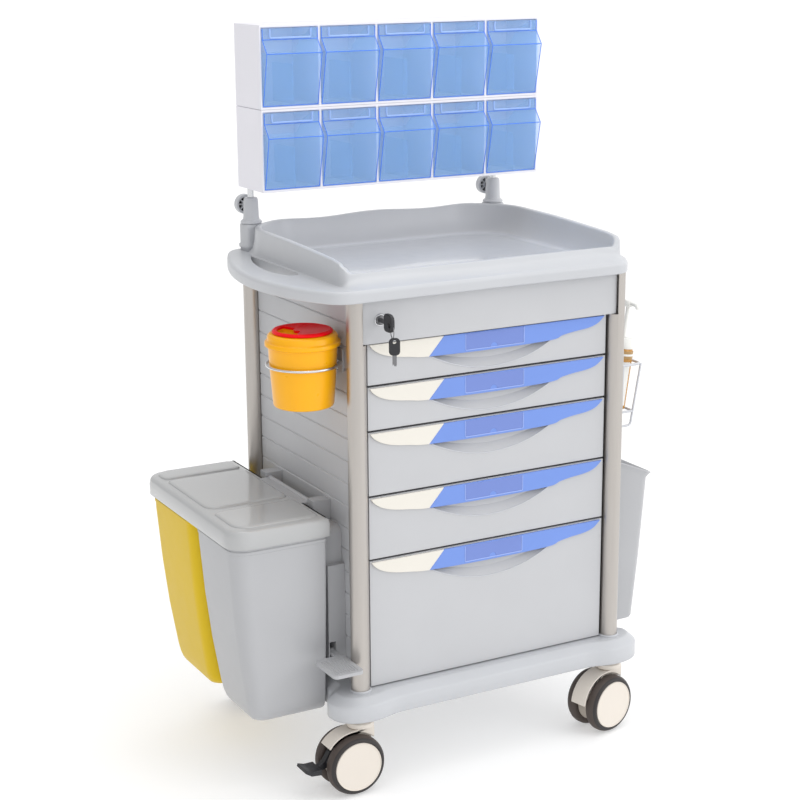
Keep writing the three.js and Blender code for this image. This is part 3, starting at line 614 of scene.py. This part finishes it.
def top_tray(rays=640):
    front = span("top_tray")[0].y
    rim = path(
        (0, front + 3), (246, front),
        [(278, front - 1), (299, -190)],
        (302, 216),
        [(302, 246), (268, 246)],
        (-268, 246),
        [(-298, 246), (-312, 218)],
        [(-345, 150), (-377, 60), (-377, -40)],
        [(-377, -120), (-348, -200), (-324, -228)],
        [(-308, front - 1), (-280, front)],
        n=16,
    )
    foot = rounded((-290, 290), (-240, 233), [22, 22, 42, 42], 10)
    ridge = rounded((-280, 280), (-202, 223), [15, 15, 98, 98], 14)
    floor = rounded((-243, 243), (-191, 188), [22, 22, 70, 70], 10)
    sections = []
    for i in range(rays):
        angle = 2 * math.pi * i / rays
        spot = ray_radius(ridge, angle) * Vector((math.cos(angle), math.sin(angle)))
        top = interpolate(GUARD_HEIGHTS, spot.y)
        if spot.y > 215:
            top += 2.4 * math.cos(spot.x * math.pi / 120) * max(0, 1 - (spot.x / 235) ** 4)
        section = tray_profile(angle, rim, foot, ridge, floor, top)
        sections.append([(r * math.cos(angle), r * math.sin(angle), z) for r, z in section])
    rings = [list(ring) for ring in zip(*sections)]
    made = piece("top_moulding", loft(rings), "rim_grey", "cart", ["top_tray"], edge=1.8, edge_angle=62)
    made.data.materials.append(FINISHES["tray_gloss"])
    grab_hole = path(
        (-294, 150), [(-322, 95), (-330, 20)], [(-333, -30), (-318, -60)], [(-300, -72), (-294, -50)], n=12,
    )
    carve(made, prism(grab_hole, [880, 916]))
    for polygon in made.data.polygons:
        centre = polygon.center - ORIGIN
        inside = abs(centre.x) < 262 * MM and -195 * MM < centre.y < 205 * MM
        if inside and centre.z < 912 * MM and polygon.normal.z > 0.8:
            polygon.material_index = 1  # the glossy bed inside the guard

    steps = [(890, 18), (914, 18), (915.5, 20), (921, 20), (922.5, 18), (957, 18), (959.4, 16.6), (960, 14)]
    for side, x in (("left", -264), ("right", 264)):
        rings = []
        for z, r in steps:
            square = rounded((x - r, x + r), (POST_Y - r, POST_Y + r), r * 0.4, 6)
            rings.append([(p.x, p.y, z) for p in square])
        piece(f"rack_column_{side}", loft(rings), "rim_grey", "cart", sharp=60)


# ---------------------------------------------------------------- tilt-bin rack
def rack_supports():
    for side in ("left", "right"):
        low, high = span(f"rack_sleeve_{side}")
        x, y = (low.x + high.x) / 2, (low.y + high.y) / 2
        profile = [(7, 0), (19, 0), (20, 1), (20, 3.4), (18.6, 4.8), (15.6, 7), (14.6, 12), (13.5, 42)]
        profile += [(12.4, 46.6), (10.6, 47.7), (7, 47.7)]
        solid = turned(profile, (x, y, low.z), closed=True)
        piece(f"sleeve_{side}", solid, "rim_grey", "cart", [f"rack_sleeve_{side}"])

        body = f"rack_knob_{side}"
        low, high = span(body)
        z = (low.z + high.z) / 2
        face = high.y - 13
        ring = [(14.4, 0), (17.6, 0), (18.5, 1), (18.5, 12), (17.6, 13), (14.4, 13), (13.6, 12), (13.6, 1)]
        spokes = []
        for k in range(8):
            turn = Matrix.Rotation(math.radians(45 * k), 4, "Y")
            spoke = moved(block((0, 14.5), (3, 10), (-1.1, 1.1)), turn)
            spokes.append(moved(spoke, Matrix.Translation((x, face, z))))
        hub = turned([(0, 1), (5.2, 1), (6, 2), (6, 13), (0, 13)], (x, face, z), "y", 32)
        rim = turned(ring, (x, face, z), "y", 48, closed=True)
        piece(f"knob_{side}", together(rim, hub, *spokes), "rim_grey", body, [body], edge=0.4)
        web = turned([(0, 8), (14.2, 8), (14.2, 11), (0, 11)], (x, face, z), "y", 32)
        shank = turned([(0, -20), (4.8, -20), (4.8, 4), (0, 4)], (x, face, z), "y", 24)
        piece(f"knob_web_{side}", web, "black", body)
        piece(f"knob_shank_{side}", shank, "steel", body)


# Side view of a tilt bin and of its hollow, as (y, height), for a case whose floor is at 0.
BIN_SIDE = [(96, 5), (192, 5), (192, 92), (160, 122), (122, 138), (93.5, 142), (93.5, 122), (75, 98)]
BIN_CAVITY = [(98, 7), (190, 7), (190, 150), (95.5, 150), (95.5, 121), (77.5, 98)]


def tilt_bin(name):
    low, high = span(name)
    x0, x1, shift = low.x, high.x, low.z - 5
    outline = [(y, z + shift) for y, z in BIN_SIDE]
    shell = prism(outline, (x0, x1), "x")
    made = piece(name + "_shell", shell, "clear_blue", name, [name], edge=0.9, segments=2)
    cavity = prism([(y, z + shift) for y, z in BIN_CAVITY], (x0 + 2, x1 - 2), "x")
    carve(made, cavity)

    edges = []
    for x in (x0 + 0.9, x1 - 0.9):
        front_edge = ((96.5, 5.6), (75.8, 98), (94.2, 122), (94.2, 141))
        line = [(x, y, z + shift) for y, z in front_edge]
        edges.append(tube(bent(line, 1.5, 3), 0.9, 8))
    for y, z in ((96.6, 5.8), (75.7, 98), (94.2, 122)):
        edges.append(tube([(x0 + 1, y, z + shift), (x1 - 1, y, z + shift)], 0.9, 8))
    piece(name + "_edges", together(*edges), "edge_blue", name)
    middle = (x0 + x1) / 2
    pocket = [(middle - 40, 141), (middle - 40, 125), (middle + 40, 125), (middle + 40, 141)]
    frame_wire = tube(bent([(x, 92.9, z + shift) for x, z in pocket], 3), 1.9, 8)
    piece(name + "_pocket", frame_wire, "pocket_blue", name)
    divider = block((middle + 6, middle + 7.4), (99, 186), (7 + shift, 78 + shift))
    piece(name + "_divider", divider, "clear_blue", name, edge=0.4)


def rack():
    keep("rack_frame", "steel", 0.4)
    for row in ("lower", "upper"):
        keep(f"rack_case_{row}", "case_white", 1.0, 3)
        for i in range(1, 6):
            tilt_bin(f"tilt_bin_{row}_{i}")


# ---------------------------------------------------------------- casters
# Degrees each caster is turned from pointing to the right, as it stands in the photo.
CASTER_TURNS = {"front_left": 0, "front_right": 12, "back_left": 0, "back_right": 0}


def caster(name):
    x = 268 if "right" in name else -268
    y = POST_Y if "back" in name else -POST_Y
    spot = Matrix.Translation((x, y, 0)) @ Matrix.Rotation(math.radians(CASTER_TURNS[name]), 4, "Z")
    brake = f"brake_pedal_{name}" in NODES
    axle = (-22, 55)
    body = f"caster_{name}"

    end = 143 if brake else 174
    hood = [*arc(axle, 60, 96, end, 20), *reversed(arc(axle, 57.2, 45, end, 28))]
    hood += [(19.5, 99), (19.5, 119), (16, 121.5)]
    hood = moved(prism(hood, (-18, 18), "y"), spot)
    piece(f"hood_{name}", hood, "caster_cream", body, [f"caster_fork_{name}"], edge=2.2, edge_angle=40)
    web = path(
        (-46, 74), [(-42, 46), (-22, 42)], [(4, 44), (14, 66)],
        (19, 112), (-24, 112), [(-42, 104), (-46, 86)],
    )
    web = moved(prism(web, (-11, 11), "y"), spot)
    piece(f"hood_web_{name}", web, "caster_cream", body, edge=2)
    collar = [(0, 118), (24, 118), (25, 120), (24, 126), (17, 130), (16, 137.4), (0, 137.4)]
    piece(f"swivel_{name}", moved(turned(collar, (0, 0, 0)), spot), "caster_cream", body)

    tyre = [(44, 13.6), (50, 13.6), (53.6, 15.4), (55, 19), (55, 26), (54, 30), (52.4, 32.6), (44, 32.6)]
    sidewall = [(44, 32.4), (52.5, 32.4), (51.4, 34.4), (49.6, 36.2), (47.6, 37), (46, 36.8), (45, 35)]
    disc = [(0, 15), (45, 15), (45, 36.6), (44.4, 37.6), (43.2, 37.6), (42.4, 36.6), (30, 36.3), (0, 36.3)]
    centre = (axle[0], 0, axle[1])
    for kind, profile, material, stands_for in (
        ("tyres", tyre, "tyre", []),
        ("sidewalls", sidewall, "tyre_dark", []),
        ("discs", disc, "caster_cream", [f"caster_wheels_{name}"]),
    ):
        pair = [
            turned([(r, sign * t) for r, t in profile], centre, "y", 96, closed=kind != "discs")
            for sign in (-1, 1)
        ]
        if kind == "discs":
            pair.append(turned([(0, -16), (6, -16), (6, 16), (0, 16)], centre, "y", 24))  # axle
        solid = moved(together(*pair), spot)
        piece(f"{kind}_{name}", solid, material, f"wheels_{name}", stands_for, sharp=45)
    if brake:
        keep(f"brake_pedal_{name}", "black", 1.6, 3)
        cheek = [(-50, 88), (-60, 82), (-73, 64), (-70, 50), (-60, 44), (-52, 56)]
        solid = moved(prism(cheek, (-10.5, 10.5), "y"), spot)
        piece(f"brake_cheek_{name}", solid, "black", f"brake_{name}", edge=2)


# ---------------------------------------------------------------- double waste bin
def waste_lid():
    low, high = span("waste_lid")
    x0, y0, bottom, y1 = low.x, low.y, low.z, high.y
    x1, top = -298, 497
    outline = rounded((x0, x1), (y0, y1), [40, 6, 6, 40], 10)
    steps = [(4, top - 4), (3.6, bottom), (0.6, bottom), (0, bottom + 0.8), (0, bottom + 20), (1, top - 8)]
    steps += [(2.6, top - 3.6), (5, top - 1.2), (9, top)]
    rings = [[(p.x, p.y, z) for p in inset(outline, amount)] for amount, z in steps]
    lid = piece("lid_shell", loft(rings), "lid_grey", "waste_lid", ["waste_lid"], sharp=50)
    lugs = (-96, -71), (106, 131)  # the bracket's hinge lugs, which the lid is cut out for
    notches = [block((x1 - 5, x1 + 3), (a - 3, b + 3), (bottom - 5, top + 5)) for a, b in lugs]
    inner_side = block((x1 - 20, x1 + 3), (y0 + 4, y1 - 4), (bottom - 5, top - 4))
    carve(lid, inner_side, *notches)
    lid.data.set_sharp_from_angle(angle=math.radians(50))

    for part, (a, b), radii in (
        ("back", (182, 234), [14, 12, 12, 26]),
        ("middle", (-28, 172), [26, 14, 12, 14]),
        ("front", (-154, -46), [32, 14, 12, 16]),
    ):
        plan = rounded((x0 + 18, x1 - 14), (a, b), radii, 8)
        steps = [(0, -1.5), (0, 0.3), (1.2, 1.9), (3.2, 2.9), (5.5, 3.3), (8, 3.4)]
        rings = [[(p.x, p.y, top + z) for p in inset(plan, amount)] for amount, z in steps]
        piece(f"lid_panel_{part}", loft(rings), "lid_grey", "waste_lid", sharp=70)

    tongue = rounded((x1 - 12, -288), (-70, 105), [1, 4, 4, 1], 4)
    piece("lid_tongue", prism(tongue, (493, 497.4)), "bucket_grey", "waste_lid", edge=0.8)
    hinge = (-288, 0, 495)
    barrel = turned([(0, -70), (4.4, -70), (5, -69.4), (5, 104.4), (4.4, 105), (0, 105)], hinge, "y", 24)
    pin = turned([(0, -78), (2.5, -78), (2.5, 113), (0, 113)], hinge, "y", 16)
    piece("lid_barrel", together(barrel, pin), "bucket_grey", "waste_lid")


# Height of a bucket's level, and how far its outer face and its ends are drawn in there.
BUCKET_DRAW = [
    (125, 53, 38), (126.5, 48.5, 33), (129, 45, 28), (133, 41.5, 22), (138, 38.5, 17.5), (148, 35, 14.5),
    (165, 31.5, 13), (190, 27.5, 11.5), (252, 18, 8), (340, 8.5, 4), (440, 1, 1),
]


def bucket(name, y_span, material):
    inner, outer, top, wall = -304, -481, 490, 3
    middle, half = sum(y_span) / 2, (y_span[1] - y_span[0]) / 2
    plan = rounded((outer, inner), y_span, [32, 6, 6, 32], 10)

    def ring(z, thick=0.0):
        out = interpolate([(row[0], row[1]) for row in BUCKET_DRAW] + [(top, 0)], z)
        end = interpolate([(row[0], row[2]) for row in BUCKET_DRAW] + [(top, 0)], z)
        points = []
        for p in inset(plan, thick):
            outward, along = (inner - p.x) / (inner - outer), (p.y - middle) / half
            points.append((p.x + outward * out, p.y - along * end, z))
        return points

    heights = [row[0] for row in BUCKET_DRAW]
    outside = [ring(z) for z in heights] + [ring(452), ring(453.5, -1.4), ring(458, -1.4), ring(459.5)]
    inside = [ring(top, 0.4), ring(top, wall - 0.4), ring(top - 2, wall)]
    inside += [ring(z, wall) for z in reversed(heights) if z > 128]
    piece(f"{name}_shell", loft([*outside, *inside]), material, "cart", [name], sharp=40)


def waste_bin():
    waste_lid()
    bucket("waste_bucket_grey", (-166, 19), "bucket_grey")
    bucket("waste_bucket_yellow", (21, 229), "bucket_yellow")
    keep("waste_bracket", "bucket_grey", 1.2, 3)
    keep("waste_pedal", "bucket_grey", 1.2, 3)
    low, high = span("waste_pedal")
    ribs = []
    for i in range(9):
        x = low.x + 9 + i * (high.x - low.x - 18) / 8
        ribs.append(tube([(x, low.y + 8, high.z), (x, low.y + 70, high.z)], 1.3, 8))
    piece("pedal_ribs", together(*ribs), "bucket_grey", "waste_pedal")


# ---------------------------------------------------------------- sharps container
SHARPS_X, SHARPS_Y = -330, -138


def kidney(z_span, grow=0.0):
    """Cutter of the curved drop slot in the container's top and in its rotary disc."""
    centre = (SHARPS_X, SHARPS_Y)
    shape = arc(centre, 44 + grow, 112, 232, 24) + list(reversed(arc(centre, 15 - grow, 112, 232, 12)))
    return prism(shape, z_span)


def sharps():
    centre = (SHARPS_X, SHARPS_Y, 0)
    outside = [(0, 697), (48, 697), (51, 698.2), (52.6, 701), (57.6, 768), (59.3, 800), (60, 802)]
    outside += [(63.6, 803), (65, 804.4), (65, 810), (64, 811.2), (61.4, 811.8), (60.4, 813)]
    outside += [(60.4, 819), (59.4, 822), (56, 824.4), (52, 825)]
    inside = [(0, 825), (0, 819), (56, 819), (57, 815), (57, 800), (50, 704), (46, 700), (0, 700)]
    profile = outside + inside[:1]
    solid = turned(profile, centre, sides=96)
    tub = piece("sharps_tub", solid, "sharps_yellow", "cart", ["sharps_container"])
    carve(tub, turned(list(reversed(inside[1:])), centre, sides=96), kidney((822, 830), 1.0))
    tub.data.set_sharp_from_angle(angle=math.radians(40))

    disc = [(0, 825.3), (50.6, 825.3), (52, 826.4), (52, 828.6)]
    disc += [(50.4, 830.4), (47.6, 831.2), (45.8, 829.9), (0, 829.9)]
    lid = piece("sharps_disc", turned(disc, centre, sides=96), "sharps_red", "sharps_lid", ["sharps_lid"])
    carve(lid, kidney((820, 836)))
    lid.data.set_sharp_from_angle(angle=math.radians(40))

    wire_z = 770
    circle = [(SHARPS_X + p.x, SHARPS_Y + p.y, wire_z) for p in arc((0, 0), 62.6, 0, 352.5, 47)]
    arms = []
    for sign in (-1, 1):
        line = [(x, SHARPS_Y + sign * y, wire_z) for x, y in ((-266, 20), (-282, 26), (-296, 52))]
        arms.append(tube(bent(line, 6), 2.2, 10))
    wires = together(tube(circle, 2.4, 12, closed=True), *arms)
    piece("sharps_wire", wires, "steel", "cart", ["sharps_ring"])
    plate = prism(rounded((-160, -116), (750, 792), 6), (-265.8, -262.3), "x")
    piece("sharps_plate", plate, "rim_grey", "cart", edge=0.6)
    screw = [(0, -267.6), (3.4, -267.2), (4, -265.6), (0, -265.6)]
    screws = [turned(screw, (0, SHARPS_Y, z), "x", 20) for z in (756, 786)]
    piece("sharps_screws", together(*screws), "steel", "cart")


# ---------------------------------------------------------------- right side
def side_basket():
    inner, outer, front, back, top = 264.5, 380, -142, -50, 686
    low, low_outer, low_front, low_back = 594, outer - 15, front + 3, back - 3  # the narrower bottom
    foot = 566  # the two end wires run on below the bottom, as feet
    rim = [(inner, front, top), (outer, front, top), (outer, back, top), (inner, back, top)]
    bottom = [(inner, low_front, low), (low_outer, low_front, low)]
    bottom += [(low_outer, low_back, low), (inner, low_back, low)]
    wires = [tube(bent(rim, 14), 2.6, 12), tube(bent(bottom, 8), 2.4, 10)]

    for y0, y1 in ((front + 2, low_front + 1), (back - 2, low_back - 1)):
        side = [(outer, y0, top), (low_outer, y1, low), (low_outer - 5, y1, foot)]
        side += [(low_outer - 30, y1, foot), (low_outer - 34, y1, low)]
        wires.append(tube(bent(side, 7), 2.2, 10))
    middle = (front + back) / 2
    line = [(outer, middle, top), (low_outer, middle, low), (inner, middle, low)]
    wires.append(tube(bent(line, 7), 2.2, 10))
    for x in (inner + 14, inner + 44, inner + 74):
        line = [(x, front, top), (x, low_front, low), (x, low_back, low), (x, back, top)]
        wires.append(tube(bent(line, 5), 1.8, 8))
    for y in (front + 10, back - 10):
        wires.append(tube([(inner, y, top), (inner, y, low)], 2, 8))
    piece("wire_basket", together(*wires), "wire_white", "cart", ["side_basket"], sharp=80)


def bottle():
    """The pump bottle, drawn upright from its own foot and leaned outwards in the basket."""
    lean = Matrix.Rotation(math.radians(8.5), 4, "Y")
    spot = Matrix.Translation((338.5, -112, 598.4)) @ lean
    middle = (0, 0, 0)
    glass = [(0, 0), (20, 0), (21.6, 1.2), (22, 3.5), (22, 111), (21, 114), (19.6, 116.5), (0, 116.5)]
    piece("bottle_body", moved(turned(glass, middle), spot), "amber", "cart", ["sanitiser_bottle"])
    wrap = arc((0, 0), 22.5, 30, 292, 40) + list(reversed(arc((0, 0), 22.0, 30, 292, 40)))
    piece("bottle_label", moved(prism(wrap, (8, 92)), spot), "label_white", "cart")
    for i, height in enumerate((98, 107.5)):
        band = [(22, height), (22.4, height + 0.4), (22.4, height + 4.6), (22, height + 5)]
        piece(f"bottle_band_{i}", moved(turned(band, middle, closed=True), spot), "gold", "cart")
    gap = [(22, 103.2), (22.3, 103.4), (22.3, 107.2), (22, 107.4)]
    piece("bottle_band_white", moved(turned(gap, middle, closed=True), spot), "label_white", "cart")
    cap = [(5.2, 116.6), (19.6, 116.6), (20, 117.6), (20, 134), (18.4, 136), (5.2, 136.4)]
    piece("bottle_cap", moved(turned(cap, middle, closed=True), spot), "label_white", "cart", sharp=40)
    stem = turned([(0, 131), (3.6, 131), (3.6, 199), (0, 199)], middle, sides=24)
    crown = [(0, 196), (7, 196), (9.6, 197.6), (10, 200), (10, 205), (8.6, 208), (5, 209), (0, 209)]
    head = turned(crown, middle, sides=40)
    spout = tube(bent([(0, -4, 203), (0, -26, 202), (0, -30, 196)], 4), 3.4, 14)
    pump = moved(together(stem, head, spout), spot)
    piece("pump", pump, "label_white", "pump_head", ["pump_head"], sharp=45)


def open_bin():
    near, far, front, back, bottom, top = 303, 412, -144, 58, 167, 464
    slant, wall = 46, 3  # the rim rises by slant towards the cart
    plan = rounded((near, far), (front, back), [8, 20, 20, 8], 8)

    def ring(z, draw, slanted, thick=0.0):
        """A level of the bin: draw narrows it and slanted lifts its near side."""
        points = []
        for p in inset(plan, thick):
            out = (p.x - near) / (far - near)
            along = (2 * p.y - front - back) / (back - front)
            points.append((p.x - out * draw, p.y - along * draw / 3, z + slanted * (1 - out)))
        return points

    levels = [(bottom, 32, 0, 4), (bottom + 2, 29, 0, 1.5), (bottom + 6, 27.6, 0, 0)]
    levels += [(300, 15.5, slant * 0.4, 0)]
    levels += [(top - 12, 4.4, slant, 0), (top - 9, 3, slant, -0.8), (top - 4, 0, slant, -2)]
    levels += [(top - 1.4, -2, slant, -3), (top, -2.2, slant, -2), (top, -2.2, slant, 1)]
    levels += [(top - 3, 0, slant, wall), (top - 12, 4.4, slant, wall), (300, 15.5, slant * 0.4, wall)]
    levels += [(bottom + 8, 27.6, 0, wall), (bottom + wall, 29, 0, wall + 5)]
    shell = loft([ring(*level) for level in levels])
    piece("open_bin_shell", shell, "bucket_grey", "cart", ["open_bin"], sharp=45)
    middle = (front + back) / 2
    hook = rounded((middle - 35, middle + 35), (440, 495), 5)
    piece("open_bin_hook", prism(hook, (PANEL_X, near + 1), "x"), "bucket_grey", "cart", edge=1)


# ---------------------------------------------------------------- studio
def studio():
    floor = bpy.data.objects.new("floor", bpy.data.meshes.new("floor"))
    reach = 120  # metres, so that its edge is never in view
    corners = [(-reach, -reach, 0), (reach, -reach, 0), (reach, reach, 0), (-reach, reach, 0)]
    floor.data.from_pydata(corners, [], [(0, 1, 2, 3)])
    white = (1, 1, 1, 1)
    paper = finish(
        "floor_white", (212, 212, 212), 0.7, vary=0.004, grain=0.0,
        Emission_Color=white, Emission_Strength=0.38,
    )
    floor.data.materials.append(paper)
    bpy.context.scene.collection.objects.link(floor)

    world = bpy.data.worlds.new("studio")
    world.use_nodes = True
    nodes, links = world.node_tree.nodes, world.node_tree.links
    coordinate = nodes.new("ShaderNodeTexCoord")
    towards_key = nodes.new("ShaderNodeVectorMath")
    towards_key.operation = "DOT_PRODUCT"
    towards_key.inputs[1].default_value = (0.64, -0.4, 0.3)
    links.new(coordinate.outputs["Generated"], towards_key.inputs[0])
    strength = nodes.new("ShaderNodeMapRange")
    strength.inputs["From Min"].default_value = -1
    strength.inputs["To Min"].default_value = 0.3
    strength.inputs["To Max"].default_value = 1.5
    links.new(towards_key.outputs["Value"], strength.inputs["Value"])
    links.new(strength.outputs["Result"], nodes["Background"].inputs["Strength"])
    nodes["Background"].inputs["Color"].default_value = white
    bpy.context.scene.world = world

    for name, place, target, size, power in (
        ("overhead", (0.2, -0.2, 3.6), (0, 0, 0.4), 2.4, 22),
        ("key", (2.8, -3.4, 2.4), (0, 0, 0.7), 1.6, 20),
    ):
        light = bpy.data.lights.new(name, "AREA")
        light.size = size
        light.energy = power
        lamp = bpy.data.objects.new(name, light)
        lamp.location = place
        lamp.rotation_euler = (Vector(target) - Vector(place)).to_track_quat("-Z", "Y").to_euler()
        bpy.context.scene.collection.objects.link(lamp)

    lens = bpy.data.cameras.new("camera")
    lens.lens = 80.1
    lens.sensor_width = 36
    lens.clip_end = 400
    camera = bpy.data.objects.new("camera", lens)
    camera.location = at(-1600.8, -2817.5, 1473.9)
    view = at(-66.6, 0, 640.2) - camera.location
    roll = Quaternion((0, 0, 1), math.radians(-0.4))
    camera.rotation_mode = "QUATERNION"
    camera.rotation_quaternion = view.to_track_quat("-Z", "Y") @ roll
    bpy.context.scene.collection.objects.link(camera)
    bpy.context.scene.camera = camera
    bpy.context.scene.view_settings.view_transform = "Standard"


studio()
base_and_body()
drawers()
lock_and_key()
top_tray()
rack_supports()
rack()
for caster_name in CASTER_TURNS:
    caster(caster_name)
waste_bin()
sharps()
side_basket()
bottle()
open_bin()
